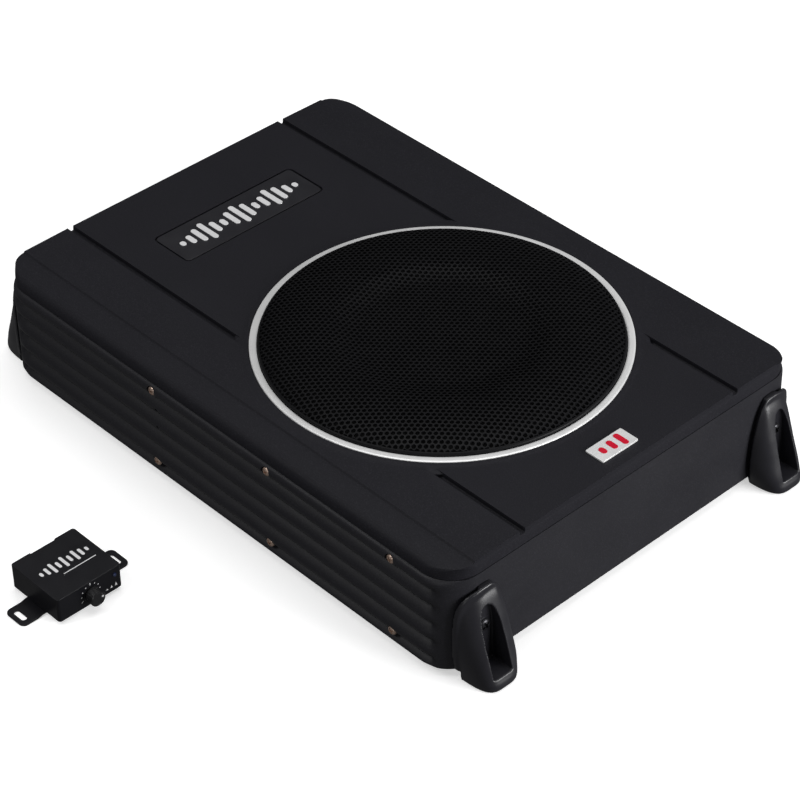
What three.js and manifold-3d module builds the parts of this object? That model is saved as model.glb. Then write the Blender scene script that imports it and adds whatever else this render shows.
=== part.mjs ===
// Low-profile powered car subwoofer with its separate wired level control.
// Millimetres, +Z up. The origin is the centre of the enclosure's underside:
// +X points to the plain end, -X to the connector end, and the ribbed sides face -Y and +Y.
import * as THREE from 'three';
import { mergeVertices, toCreasedNormals } from 'three/addons/utils/BufferGeometryUtils.js';
import Module from 'manifold-3d';

const wasm = await Module();
wasm.setup();

// ---------------------------------------------------------------- driving dimensions
const LENGTH = 345;
const WIDTH = 250;
const CORNER_R = 20;
const END_WALL = 4;
const SIDE_WALL = 6.5;
const FLOOR_T = 2.5;
const BODY_TOP = 56.3;
const LID_BOTTOM = 56.9;
const DECK_Z = 66;
const LID_UNDERSIDE = 62.4;
const SEAM_INSET = 2.2;

const RIB_PITCH = 11.2;
const RIB_DEPTH = 3;
const FIRST_VALLEY = 3.9;
const RIB_COUNT = 5;
const RIB_HALF_LENGTH = 159;

const GROOVE_Y = 75.4;
const GROOVE_W = 4.6;
const GROOVE_DEPTH = 2;

const WOOFER_X = 39.2;
const RING_R = 99;
const RING_INNER_R = 95;
const RING_TOP = 66.6;
const RING_BOTTOM = 64.8;
const COLLAR_R = 106.5;
const APERTURE_R = 90.5;

const SIDE_SCREW_X = [-45, 43.4, 132.6];
const SIDE_SCREW_Z = [6.2, 52.4];

const FOOT_Y = 104.5;
const FOOT_REACH = 19;
const FOOT_SOLE = -4.4;
const FOOT_TOP = 51.8;
const FOOT_SCREW_Z = 27;

const PANEL_HALF_W = 80;
const PANEL_LOW = 8;
const PANEL_HIGH = 51;
const PANEL_FACE = -171.8;
const PANEL_T = 2.4;

const REMOTE_X = -9.9;
const REMOTE_Y = -211.2;
const REMOTE_LX = 37.6;
const REMOTE_LY = 39.4;
const REMOTE_H = 15.6;
const PLATE_T = 1.2;

const GAP = 0.3;

// ---------------------------------------------------------------- materials
const paint = (color, roughness, metalness) =>
  new THREE.MeshStandardMaterial({ color, roughness, metalness });
const satinBlack = () => paint(0x242428, 0.55, 0.3);
const moulded = () => paint(0x1d1d21, 0.5, 0);
const gasketRubber = () => paint(0x0b0b0b, 0.9, 0);
const silver = () => paint(0xd9d9db, 0.35, 0.8);
const steel = () => paint(0x8a7c70, 0.35, 1);
const board = () => paint(0x1f5a33, 0.6, 0.05);
const copper = () => paint(0xa8642f, 0.45, 0.7);
const zinc = () => paint(0x77787a, 0.4, 0.9);

// ---------------------------------------------------------------- solid helpers
function toSolid(geometry) {
  const bare = geometry.clone();
  bare.deleteAttribute('normal');
  bare.deleteAttribute('uv');
  const merged = mergeVertices(bare, 1e-4);
  const points = merged.attributes.position.array;
  const index = merged.index.array;
  const kept = [];
  let volume = 0;
  const a = new THREE.Vector3();
  const b = new THREE.Vector3();
  const c = new THREE.Vector3();
  for (let i = 0; i < index.length; i += 3) {
    const [p, q, r] = [index[i], index[i + 1], index[i + 2]];
    if (p === q || q === r || p === r) continue;
    kept.push(p, q, r);
    a.fromArray(points, 3 * p);
    b.fromArray(points, 3 * q);
    c.fromArray(points, 3 * r);
    volume += a.dot(b.cross(c));
  }
  if (volume < 0) kept.reverse();
  const triVerts = new Uint32Array(kept);
  const vertProperties = new Float32Array(points);
  return new wasm.Manifold(new wasm.Mesh({ numProp: 3, vertProperties, triVerts }));
}

function toGeometry(solid) {
  const data = solid.getMesh();
  const geometry = new THREE.BufferGeometry();
  geometry.setAttribute('position', new THREE.BufferAttribute(new Float32Array(data.vertProperties), 3));
  geometry.setIndex(new THREE.BufferAttribute(new Uint32Array(data.triVerts), 1));
  return toCreasedNormals(geometry, 0.6);
}

const shapeOf = (pairs) => new THREE.Shape(pairs.map(([u, v]) => new THREE.Vector2(u, v)));

function extruded(shape, depth, curveSegments) {
  return new THREE.ExtrudeGeometry(shape, { depth, bevelEnabled: false, curveSegments });
}

// A flat outline in X and Y raised from z0 to z1.
function upright(shape, z0, z1, segments = 8) {
  const geometry = extruded(shape, z1 - z0, segments);
  geometry.translate(0, 0, z0);
  return toSolid(geometry);
}

// An outline in Y and Z run along X from x0 to x1.
function alongX(shape, x0, x1, segments = 8) {
  const geometry = extruded(shape, x1 - x0, segments);
  const turn = new THREE.Matrix4().makeBasis(
    new THREE.Vector3(0, 1, 0), new THREE.Vector3(0, 0, 1), new THREE.Vector3(1, 0, 0));
  geometry.applyMatrix4(turn);
  geometry.translate(x0, 0, 0);
  return toSolid(geometry);
}

// An outline in X and Z run along Y from y0 to y1.
function alongY(shape, y0, y1, segments = 8) {
  const geometry = extruded(shape, y1 - y0, segments);
  const turn = new THREE.Matrix4().makeBasis(
    new THREE.Vector3(1, 0, 0), new THREE.Vector3(0, 0, 1), new THREE.Vector3(0, -1, 0));
  geometry.applyMatrix4(turn);
  geometry.translate(0, y1, 0);
  return toSolid(geometry);
}

function roundedRect(w, h, r, cx = 0, cy = 0) {
  const x = cx - w / 2;
  const y = cy - h / 2;
  const shape = new THREE.Shape();
  shape.moveTo(x + r, y);
  shape.lineTo(x + w - r, y);
  shape.absarc(x + w - r, y + r, r, -Math.PI / 2, 0);
  shape.lineTo(x + w, y + h - r);
  shape.absarc(x + w - r, y + h - r, r, 0, Math.PI / 2);
  shape.lineTo(x + r, y + h);
  shape.absarc(x + r, y + h - r, r, Math.PI / 2, Math.PI);
  shape.lineTo(x, y + r);
  shape.absarc(x + r, y + r, r, Math.PI, 1.5 * Math.PI);
  return shape;
}

function block(x0, x1, y0, y1, z0, z1) {
  const geometry = new THREE.BoxGeometry(x1 - x0, y1 - y0, z1 - z0);
  geometry.translate((x0 + x1) / 2, (y0 + y1) / 2, (z0 + z1) / 2);
  return toSolid(geometry);
}

// A turned piece on the Z axis, from radius and height pairs.
function turned(pairs, segments = 40, place = new THREE.Matrix4()) {
  const geometry = new THREE.LatheGeometry(pairs.map(([r, z]) => new THREE.Vector2(r, z)), segments);
  geometry.rotateX(Math.PI / 2);
  geometry.applyMatrix4(place);
  return toSolid(geometry);
}

// A plain round rod whose axis runs along x, y or z through the given centre.
function rod(radius, length, axis, cx, cy, cz, segments = 12) {
  const geometry = new THREE.CylinderGeometry(radius, radius, length, segments);
  if (axis === 'x') geometry.rotateZ(Math.PI / 2);
  if (axis === 'z') geometry.rotateX(Math.PI / 2);
  geometry.translate(cx, cy, cz);
  return toSolid(geometry);
}

function addPart(parent, name, solid, material, place) {
  const mesh = new THREE.Mesh(toGeometry(solid), material);
  mesh.name = name;
  if (place) place(mesh);
  parent.add(mesh);
  return mesh;
}

const group = new THREE.Group();
const enclosure = new THREE.Group();
const woofer = new THREE.Group();
woofer.position.set(WOOFER_X, 0, 0);
const amplifier = new THREE.Group();
const remote = new THREE.Group();
remote.position.set(REMOTE_X, REMOTE_Y, FOOT_SOLE);
group.add(enclosure, woofer, amplifier, remote);

// ---------------------------------------------------------------- enclosure body
// The ribbed side profile: five rounded valleys between six convex bands.
function ribCutter(side) {
  const reach = WIDTH / 2 + 2;
  const pairs = [];
  const step = 5;
  pairs.push([reach, -1]);
  pairs.push([WIDTH / 2 - 0.8, -1]);
  for (let band = 0; band < RIB_COUNT; band += 1) {
    const valley = FIRST_VALLEY + band * RIB_PITCH;
    pairs.push([WIDTH / 2 - RIB_DEPTH, valley]);
    if (band === RIB_COUNT - 1) break;
    for (let k = 1; k < step; k += 1) {
      const t = k / step;
      const rise = Math.pow(Math.sin(Math.PI * t), 0.75);
      pairs.push([WIDTH / 2 - RIB_DEPTH * (1 - rise), valley + t * RIB_PITCH]);
    }
  }
  pairs.push([WIDTH / 2 - 1, 50.4]);
  pairs.push([WIDTH / 2, 52.3]);
  pairs.push([reach, 52.3]);
  const shape = shapeOf(pairs.map(([y, z]) => [side * y, z]));
  return alongX(shape, -RIB_HALF_LENGTH, RIB_HALF_LENGTH);
}

// The soft shoulder that leans in from the ribs to the seam along both long sides.
function shoulderCutter(side) {
  const y = WIDTH / 2;
  const shape = shapeOf([
    [side * y, 52.3], [side * (y - 0.8), 54.4], [side * (y - SEAM_INSET), BODY_TOP],
    [side * (y - SEAM_INSET), BODY_TOP + 1], [side * (y + 2), BODY_TOP + 1], [side * (y + 2), 52.3]]);
  return alongX(shape, -LENGTH, LENGTH);
}

const outline = roundedRect(LENGTH, WIDTH, CORNER_R);
let body = upright(outline, 0, BODY_TOP, 10);
const bodyRoom = roundedRect(LENGTH - 2 * END_WALL, WIDTH - 2 * SIDE_WALL, CORNER_R - 5);
body = body.subtract(upright(bodyRoom, -1, BODY_TOP + 1, 5));
for (const side of [-1, 1]) {
  body = body.subtract(ribCutter(side));
  body = body.subtract(shoulderCutter(side));
  for (const x of SIDE_SCREW_X) {
    for (const z of SIDE_SCREW_Z) {
      body = body.subtract(rod(1.8, 14, 'y', x, side * (WIDTH / 2 - 4), z, 10));
      body = body.subtract(rod(3, 3.6, 'y', x, side * (WIDTH / 2), z, 12));
    }
  }
}
body = body.subtract(block(-LENGTH / 2 - 1, -LENGTH / 2 + END_WALL + 1, -PANEL_HALF_W, PANEL_HALF_W,
  PANEL_LOW, PANEL_HIGH));
for (const end of [-1, 1]) {
  for (const side of [-1, 1]) {
    body = body.subtract(rod(2, 12, 'x', end * (LENGTH / 2 - 2), side * FOOT_Y, FOOT_SCREW_Z, 12));
  }
}
addPart(enclosure, 'housing_body', body, satinBlack());

// ---------------------------------------------------------------- bottom plate
const plateW = LENGTH - 2 * END_WALL - 2 * GAP;
const plateD = WIDTH - 2 * SIDE_WALL - 2 * GAP;
let bottom = upright(roundedRect(plateW, plateD, CORNER_R - 5.3), 0, FLOOR_T, 4);
for (const side of [-1, 1]) {
  const inner = plateD / 2 - 2.4;
  const flange = block(-140, 140, Math.min(side * inner, side * plateD / 2),
    Math.max(side * inner, side * plateD / 2), 1, 11);
  bottom = bottom.add(flange);
  for (const x of SIDE_SCREW_X) {
    bottom = bottom.subtract(rod(1.8, 8, 'y', x, side * (plateD / 2 - 1.2), SIDE_SCREW_Z[0], 10));
  }
}
addPart(enclosure, 'bottom_plate', bottom, paint(0x17171a, 0.6, 0.3));

// ---------------------------------------------------------------- seam gasket
const sealOuter = roundedRect(LENGTH - 3.2, WIDTH - 2 * SEAM_INSET - 3.2, CORNER_R - 2);
const sealInner = roundedRect(LENGTH - 7.2, WIDTH - 2 * SEAM_INSET - 7.2, CORNER_R - 4);
const seal = upright(sealOuter, BODY_TOP + 0.1, LID_BOTTOM - 0.1, 4)
  .subtract(upright(sealInner, BODY_TOP - 1, LID_BOTTOM + 1, 4));
addPart(enclosure, 'cover_gasket', seal, gasketRubber());

// ---------------------------------------------------------------- top cover
const half = WIDTH / 2;
const grooveIn = GROOVE_Y - GROOVE_W / 2;
const grooveOut = GROOVE_Y + GROOVE_W / 2;
const lidSide = [
  [half - SEAM_INSET, LID_BOTTOM], [half - 2.7, 57.9], [half - 4.6, 60.0],
  [half - 8, 62.1], [half - 13, 63.8], [half - 20, 65.0]];
const lidPoints = [];
for (const [y, z] of lidSide) lidPoints.push([y, z]);
for (const [y, z] of lidSide.slice().reverse()) lidPoints.push([-y, z]);
lidPoints.splice(lidSide.length, 0,
  [grooveOut, DECK_Z], [grooveOut - 0.5, DECK_Z - GROOVE_DEPTH],
  [grooveIn + 0.5, DECK_Z - GROOVE_DEPTH], [grooveIn, DECK_Z],
  [-grooveIn, DECK_Z], [-grooveIn - 0.5, DECK_Z - GROOVE_DEPTH],
  [-grooveOut + 0.5, DECK_Z - GROOVE_DEPTH], [-grooveOut, DECK_Z]);
let lid = alongX(shapeOf(lidPoints), -LENGTH / 2 - 1, LENGTH / 2 + 1);
lid = lid.intersect(upright(outline, LID_BOTTOM - 1, DECK_Z + 4, 10));

const atWoofer = new THREE.Matrix4().makeTranslation(WOOFER_X, 0, 0);
const collar = turned([
  [0, LID_UNDERSIDE - 1], [COLLAR_R, LID_UNDERSIDE - 1], [COLLAR_R, DECK_Z - 1.1],
  [COLLAR_R - 0.7, DECK_Z - 0.8], [RING_R + 2.6, RING_TOP - 0.4], [RING_R + GAP, RING_TOP - 0.2],
  [0, RING_TOP - 0.2]], 64, atWoofer);
lid = lid.add(collar);
lid = lid.subtract(turned([[0, RING_BOTTOM - 0.3], [RING_R + GAP, RING_BOTTOM - 0.3],
  [RING_R + GAP, DECK_Z + 5], [0, DECK_Z + 5]], 64, atWoofer));
lid = lid.subtract(turned([[0, 50], [APERTURE_R, 50], [APERTURE_R, DECK_Z + 5], [0, DECK_Z + 5]],
  48, atWoofer));
const lidRoom = roundedRect(LENGTH - 11, WIDTH - 28, CORNER_R - 6);
const lidRib = turned([[0, 40], [COLLAR_R - 4, 40], [COLLAR_R - 4, LID_UNDERSIDE], [0, LID_UNDERSIDE]],
  32, atWoofer);
lid = lid.subtract(upright(lidRoom, LID_BOTTOM - 1, LID_UNDERSIDE, 8).add(lidRib));

// The shallow recess that holds the emblem plate.
const EMBLEM_X = -117.6;
const EMBLEM_Y = -1.8;
const EMBLEM_W = 30;
const EMBLEM_L = 98;
const recess = roundedRect(EMBLEM_W, EMBLEM_L, 3.5, EMBLEM_X, EMBLEM_Y);
lid = lid.subtract(upright(recess, DECK_Z - 1.5, DECK_Z + 2, 6));

// Skirts that drop inside the ribbed walls and take the upper screws.
for (const side of [-1, 1]) {
  const outer = WIDTH / 2 - SIDE_WALL - 0.4;
  const inner = outer - 2.6;
  lid = lid.add(block(-150, 150, Math.min(side * inner, side * outer), Math.max(side * inner, side * outer),
    46, LID_BOTTOM + 2));
  for (const x of SIDE_SCREW_X) {
    lid = lid.subtract(rod(1.8, 9, 'y', x, side * (outer - 1), SIDE_SCREW_Z[1], 10));
  }
}
addPart(enclosure, 'top_cover', lid, satinBlack());

// ---------------------------------------------------------------- deck trims
const ring = turned([[RING_INNER_R, RING_BOTTOM], [RING_R, RING_BOTTOM], [RING_R, RING_TOP - 0.3],
  [RING_R - 0.4, RING_TOP], [RING_INNER_R + 0.4, RING_TOP], [RING_INNER_R, RING_TOP - 0.3],
  [RING_INNER_R, RING_BOTTOM]], 64, atWoofer);
addPart(enclosure, 'trim_ring', ring, silver());

// The pressed grille: a steep rim, a shallow dome and a dished centre.
const GRILLE_T = 1;
const DISH_Z = 70.2;
const dome = [[94.6, 67.7], [91.6, 69.4], [85, 71.2], [72, 72.8], [62, 73], [56, 72.5], [45, DISH_Z]];
const grilleProfile = [[0, DISH_Z]].concat(dome.slice().reverse());
grilleProfile.push([94.6, 65.0]);
grilleProfile.push([91.2, 65.0]);
grilleProfile.push([91.2, 66.2]);
for (const [r, z] of dome) grilleProfile.push([r - (r > 90 ? 1 : 0.4), z - GRILLE_T]);
grilleProfile.push([0, DISH_Z - GRILLE_T]);
addPart(enclosure, 'grille', turned(grilleProfile, 48, atWoofer), paint(0x101012, 0.5, 0.4));

addPart(enclosure, 'emblem_plate',
  upright(roundedRect(EMBLEM_W - 1.6, EMBLEM_L - 1.6, 3), 0, 0.9, 6), moulded(),
  (m) => m.position.set(EMBLEM_X, EMBLEM_Y, DECK_Z - 1.4));
addPart(enclosure, 'corner_badge', upright(roundedRect(12.2, 25, 0.8), 0, 1, 3), silver(),
  (m) => m.position.set(159.2, -0.6, DECK_Z + 0.1));

// ---------------------------------------------------------------- side screws
function panHeadScrew(headR, headT, shankR, shankL) {
  const solid = turned([[0, 0], [shankR, 0], [shankR, shankL], [headR, shankL], [headR, shankL + headT * 0.5],
    [headR * 0.7, shankL + headT], [0, shankL + headT]], 8);
  return solid.subtract(rod(headR * 0.36, headT, 'z', 0, 0, shankL + headT, 4));
}
for (const [side, label] of [[-1, 'near'], [1, 'far']]) {
  SIDE_SCREW_X.forEach((x, column) => {
    SIDE_SCREW_Z.forEach((z, row) => {
      const name = `side_screw_${label}_${['lower', 'upper'][row]}_${column + 1}`;
      addPart(enclosure, name, panHeadScrew(2.6, 1.5, 1.4, 7.8), steel(), (m) => {
        m.rotation.x = side * -Math.PI / 2;
        m.position.set(x, side * (WIDTH / 2 - 9.4), z);
      });
    });
  });
}

// ---------------------------------------------------------------- feet
// Each foot is a pointed arch from the front, leans out from the wall towards its sole,
// and has a tall pocket in its outward face with the fixing screw at the back.
const footFront = [[0, FOOT_TOP], [3.4, 50], [6.4, 46.6], [9.4, 42], [12, 36.4], [14.2, 29.5], [15.8, 21.5],
  [16.2, 14], [15.2, 8.6], [13.2, 4.2], [11.4, 1.2], [11.2, FOOT_SOLE]];
const footPlan = [[-6.5, 16.5], [3, 16.5], [7, 15], [11, 13.2], [14.5, 11.6], [17, 10.2], [18.4, 7.4],
  [FOOT_REACH, 3.6]];
const footSide = [[-6.5, FOOT_SOLE], [18.9, FOOT_SOLE], [18.7, -1.6], [16.6, 1.6], [12.6, 15], [8.4, 29],
  [4.6, 42.5], [2.2, 49.4], [1.4, 52.6], [-6.5, 52.6]];
const slotShape = new THREE.Shape();
slotShape.moveTo(-5.8, 2.6);
slotShape.lineTo(5.8, 2.6);
slotShape.lineTo(5.8, 31);
slotShape.quadraticCurveTo(5.4, 37.8, 0, 40.6);
slotShape.quadraticCurveTo(-5.4, 37.8, -5.8, 31);

function mirrored(pairs) {
  return pairs.concat(pairs.filter(([u]) => u !== 0).map(([u, v]) => [-u, v]).reverse());
}

const footBlank = alongX(shapeOf(mirrored(footFront)), -10, FOOT_REACH + 1)
  .intersect(upright(shapeOf(footPlan.concat(footPlan.map(([x, y]) => [x, -y]).reverse())), -10, 60))
  .intersect(alongY(shapeOf(footSide), -20, 20))
  .subtract(alongX(slotShape, 3, FOOT_REACH + 2, 5))
  .subtract(rod(2, 20, 'x', 0, 0, FOOT_SCREW_Z, 12));
const underBody = block(-20, GAP, -30, 30, -20, 2);
const cornerAt = (y) => upright(
  roundedRect(LENGTH + 2 * GAP, WIDTH + 2 * GAP, CORNER_R + GAP, -LENGTH / 2, y), -GAP, 80, 10).add(underBody);
const cornerLeft = cornerAt(FOOT_Y);
const cornerRight = cornerAt(-FOOT_Y);
const footScrew = panHeadScrew(3.6, 2.2, 1.7, 9);
for (const [end, endLabel] of [[1, 'plain_end'], [-1, 'connector_end']]) {
  for (const [side, sideLabel] of [[-1, 'near'], [1, 'far']]) {
    const shell = footBlank.subtract(side * end < 0 ? cornerLeft : cornerRight);
    addPart(enclosure, `foot_${endLabel}_${sideLabel}`, shell, moulded(), (m) => {
      m.rotation.z = end > 0 ? 0 : Math.PI;
      m.position.set(end * LENGTH / 2, side * FOOT_Y, 0);
    });
    addPart(enclosure, `foot_screw_${endLabel}_${sideLabel}`, footScrew, steel(), (m) => {
      m.rotation.y = end * Math.PI / 2;
      m.position.set(end * (LENGTH / 2 - 5.7), side * FOOT_Y, FOOT_SCREW_Z);
    });
  }
}

// ---------------------------------------------------------------- woofer driver
const basket = [[97, 62.1], [97, 60.3], [85.5, 60.3], [82.5, 56], [56, 34], [49, 29.5], [44, 25.4], [23, 25.4],
  [23, 26.9], [43.3, 26.9], [46, 30.6], [46, 32.4], [48.6, 32.4], [54.8, 35.6], [80.8, 57], [84.4, 62.1],
  [97, 62.1]];
const cone = [[19.8, 44], [23, 44.4], [70.6, 58.4], [72.6, 60.6], [70, 60.6], [68.6, 59.4], [22.4, 46],
  [19.8, 45.6], [19.8, 44]];
const dustCap = [[0, 57.4], [10, 56.6], [19, 54], [25.6, 49.8], [27.4, 48.2], [26.4, 47.8], [24.6, 48.6],
  [18.4, 52.6], [9.7, 55.4], [0, 56.2]];
const surround = [[72, 61.1], [74.2, 61.1], [76.2, 64], [79, 65.3], [81.8, 64], [83.6, 62.5], [88, 62.5],
  [88, 63.4], [84, 63.4], [82.2, 65.2], [79, 66.6], [75.6, 65.1], [73.6, 62], [72, 62], [72, 61.1]];
const spider = [[19.7, 33.4], [25, 32.6], [30, 34.2], [35, 32.6], [40, 34.2], [45.6, 32.9], [48, 32.9],
  [48, 33.7], [45.4, 33.7], [40, 35], [35, 33.4], [30, 35], [25, 33.4], [19.7, 34.2], [19.7, 33.4]];
const backPlate = [[0, 3.2], [38, 3.2], [38, 7.6], [17.4, 7.6], [17.4, 25], [0, 25]];
const magnet = [[23.5, 7.9], [42, 7.9], [42, 19.6], [23.5, 19.6], [23.5, 7.9]];
const topPlate = [[20.4, 19.9], [38.5, 19.9], [38.5, 25.1], [20.4, 25.1], [20.4, 19.9]];
const coil = [[18.2, 16], [19.3, 16], [19.3, 45.2], [18.2, 45.2], [18.2, 16]];
addPart(woofer, 'woofer_basket', turned(basket, 24), paint(0x2a2a2c, 0.5, 0.6));
addPart(woofer, 'back_plate', turned(backPlate, 20), zinc());
addPart(woofer, 'magnet', turned(magnet, 20), paint(0x1c1c1d, 0.7, 0.2));
addPart(woofer, 'top_plate', turned(topPlate, 20), zinc());
addPart(woofer, 'voice_coil', turned(coil, 20), copper());
addPart(woofer, 'cone', turned(cone, 24), paint(0x19191b, 0.75, 0));
addPart(woofer, 'dust_cap', turned(dustCap, 16), paint(0x131314, 0.4, 0));
addPart(woofer, 'surround', turned(surround, 24), gasketRubber());
addPart(woofer, 'spider', turned(spider, 16), paint(0xb9a06a, 0.9, 0));

// ---------------------------------------------------------------- amplifier
addPart(amplifier, 'amplifier_board', block(-160, -66, -104, 104, 6, 7.6), board());
addPart(amplifier, 'heatsink_bar', block(-150, -74, -113.4, -105.2, 12, 30), paint(0xb0b2b5, 0.4, 0.9));
addPart(amplifier, 'transformer', turned([[9, 7.9], [24, 7.9], [24, 30], [9, 30], [9, 7.9]], 24),
  copper(), (m) => m.position.set(-104, 62, 0));
addPart(amplifier, 'capacitor', turned([[0, 7.9], [9, 7.9], [9, 36], [8.4, 36.6], [0, 36.6]], 20),
  paint(0x26304a, 0.4, 0.2), (m) => m.position.set(-92, 16, 0));

// ---------------------------------------------------------------- connector panel
const panelBack = PANEL_FACE + PANEL_T;
const panelMiddle = PANEL_FACE + PANEL_T / 2;
const knobs = [['gain_knob', -42], ['crossover_knob', -56], ['bass_boost_knob', -70]];
const KNOB_Z = 34;
let panel = block(PANEL_FACE, panelBack, -PANEL_HALF_W + GAP, PANEL_HALF_W - GAP,
  PANEL_LOW + GAP, PANEL_HIGH - GAP);
const sockets = {
  power_socket: { y: 58, z: 29, w: 30, h: 15, wall: 2.4, depth: 15, out: 3 },
  high_level_socket: { y: -6, z: 20, w: 17, h: 10.6, wall: 1.8, depth: 12, out: 1 },
  remote_socket: { y: -26, z: 20, w: 13.4, h: 10.6, wall: 1.8, depth: 12, out: 1 },
};
for (const s of Object.values(sockets)) {
  panel = panel.subtract(block(PANEL_FACE - 1, panelBack + 1, s.y - s.w / 2 - GAP, s.y + s.w / 2 + GAP,
    s.z - s.h / 2 - GAP, s.z + s.h / 2 + GAP));
}
const FUSE_Y = 30;
panel = panel.subtract(block(PANEL_FACE - 1, panelBack + 1, FUSE_Y - 9, FUSE_Y + 9, 26.4, 31.6));
for (const [, y] of knobs) {
  panel = panel.subtract(rod(3, 8, 'x', panelMiddle, y, KNOB_Z, 14));
}
const JACKS = [['rca_jack_left', 38], ['rca_jack_right', 21]];
for (const [, z] of JACKS) {
  panel = panel.subtract(rod(4.6, 8, 'x', panelMiddle, 12, z, 20));
}
panel = panel.subtract(block(PANEL_FACE - 1, panelBack + 1, -61.4, -50.6, 14.6, 19.4));
panel = panel.subtract(rod(1.8, 8, 'x', panelMiddle, -26, 38, 12));
addPart(amplifier, 'control_panel', panel, moulded());

for (const [name, s] of Object.entries(sockets)) {
  let shell = block(PANEL_FACE - s.out, PANEL_FACE - s.out + s.depth, s.y - s.w / 2, s.y + s.w / 2,
    s.z - s.h / 2, s.z + s.h / 2);
  shell = shell.subtract(block(PANEL_FACE - s.out - 1, PANEL_FACE - s.out + s.depth - 2,
    s.y - s.w / 2 + s.wall, s.y + s.w / 2 - s.wall, s.z - s.h / 2 + s.wall, s.z + s.h / 2 - s.wall));
  addPart(amplifier, name, shell, name === 'power_socket' ? moulded() : paint(0x2c2c30, 0.45, 0));
}
const blade = block(PANEL_FACE - 6, PANEL_FACE + 1, FUSE_Y - 8.6, FUSE_Y + 8.6, 26.8, 31.2)
  .add(block(PANEL_FACE - 1, PANEL_FACE + 9, FUSE_Y - 7.6, FUSE_Y + 7.6, 28.6, 29.4));
addPart(amplifier, 'fuse', blade, paint(0xb5451f, 0.3, 0));
for (const [name, z] of JACKS) {
  const barrel = turned([[0, 0], [4.2, 0], [4.2, 13.6], [3.9, 14], [1.6, 14], [1.6, 4], [0, 4]], 20);
  const collarPaint = name.endsWith('left') ? paint(0xd8d8d8, 0.35, 0.4) : paint(0xb02020, 0.35, 0.2);
  addPart(amplifier, name, barrel, collarPaint, (m) => {
    m.rotation.y = -Math.PI / 2;
    m.position.set(PANEL_FACE + 5, 12, z);
  });
}
const knobSolid = turned([[0, 0], [2.5, 0], [2.5, 8.4], [5, 8.4], [5, 14.6], [4.4, 15.2], [0, 15.2]], 16)
  .subtract(block(-0.6, 0.6, 1, 5.4, 14.6, 16));
for (const [name, y] of knobs) {
  addPart(amplifier, name, knobSolid, moulded(), (m) => {
    m.rotation.y = -Math.PI / 2;
    m.position.set(PANEL_FACE + 8, y, KNOB_Z);
  });
}
const slider = block(PANEL_FACE - 2.6, PANEL_FACE + 2.8, -60.8, -56.8, 15.2, 18.8)
  .add(block(PANEL_FACE + 2.8, PANEL_FACE + 4.4, -62.6, -55, 13, 21));
addPart(amplifier, 'phase_switch', slider, paint(0xc9c9c9, 0.5, 0));
addPart(amplifier, 'power_led', turned([[0, 0], [1.5, 0], [1.5, 5.4], [1.1, 6.2], [0, 6.5]], 14),
  paint(0x3a64d8, 0.2, 0), (m) => {
    m.rotation.y = -Math.PI / 2;
    m.position.set(PANEL_FACE + 5, -26, 38);
  });

// ---------------------------------------------------------------- wired level control
const hx = REMOTE_LX / 2;
const hy = REMOTE_LY / 2;
const REMOTE_KNOB_Z = 9;
const REMOTE_LED_Y = 15.4;
const REMOTE_LED_Z = 11.8;
const TAB_W = 15;
const TAB_L = 14;
let plate = upright(roundedRect(REMOTE_LX - 1, REMOTE_LY - 1, 1.2), 0, PLATE_T, 2);
let tabs = upright(roundedRect(TAB_W, REMOTE_LY + 2 * TAB_L, 2.6), 0, PLATE_T, 3);
for (const side of [-1, 1]) {
  tabs = tabs.subtract(upright(roundedRect(8.4, 3.4, 1.6, 0, side * (hy + TAB_L - 4.2)), -1, PLATE_T + 1, 3));
}
plate = plate.add(tabs);
addPart(remote, 'remote_base', plate, satinBlack());

let cover = upright(roundedRect(REMOTE_LX, REMOTE_LY, 2), PLATE_T + 0.3, REMOTE_H, 4);
cover = cover.subtract(upright(roundedRect(REMOTE_LX - 2.4, REMOTE_LY - 2.4, 1), 0, REMOTE_H - 1.2, 3));
cover = cover.subtract(rod(3.6, 6, 'x', hx, 0.4, REMOTE_KNOB_Z, 16));
cover = cover.subtract(rod(1.2, 6, 'x', hx, REMOTE_LED_Y, REMOTE_LED_Z, 10));
cover = cover.subtract(block(-hx - 1, -hx + 0.7, -7.6, 7.6, REMOTE_H - 0.6, REMOTE_H + 1));
cover = cover.subtract(block(-hx - 1, -hx + 2, -6.2, 6.2, 3, 10.4));
addPart(remote, 'remote_case', cover, satinBlack());

addPart(remote, 'remote_board', block(-hx + 2, hx - 4.4, -hy + 3, hy - 3, 1.9, 2.9), board());
let jack = block(-hx + 0.4, -hx + 11, -5.8, 5.8, 3.2, 10.2);
jack = jack.subtract(block(-hx, -hx + 9, -4.2, 4.2, 4.4, 9));
addPart(remote, 'remote_jack', jack, moulded());
let pot = block(hx - 8.6, hx - 1.7, -4.6, 5.4, 3.2, 13.6);
pot = pot.subtract(rod(3.1, 14, 'x', hx, 0.4, REMOTE_KNOB_Z, 16));
addPart(remote, 'remote_potentiometer', pot, paint(0x8f8f92, 0.4, 0.7));
const ledLens = turned([[0, 0], [1, 0], [1, 3.4], [0.7, 3.8], [0, 4]], 12);
addPart(remote, 'remote_led', ledLens, paint(0x3a64d8, 0.2, 0), (m) => {
  m.rotation.y = Math.PI / 2;
  m.position.set(hx - 3, REMOTE_LED_Y, REMOTE_LED_Z);
});
const levelKnob = turned([[0, 0], [2.8, 0], [2.8, 6.9], [3.6, 6.9], [3.6, 7.7], [4.4, 7.7], [4.4, 12.4],
  [4, 12.9], [0, 12.9]], 20);
addPart(remote, 'remote_knob', levelKnob, moulded(), (m) => {
  m.rotation.y = Math.PI / 2;
  m.position.set(hx - 6.4, 0.4, REMOTE_KNOB_Z);
});

export default group;
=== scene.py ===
"""A powered car subwoofer with its wired level control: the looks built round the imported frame.

Lengths in this script are millimetres until a mesh is made, and metres in Blender. +Z is up, +X is
the plain end, -X the connector end, and the ribbed sides face -Y and +Y.
"""

import math

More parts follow.
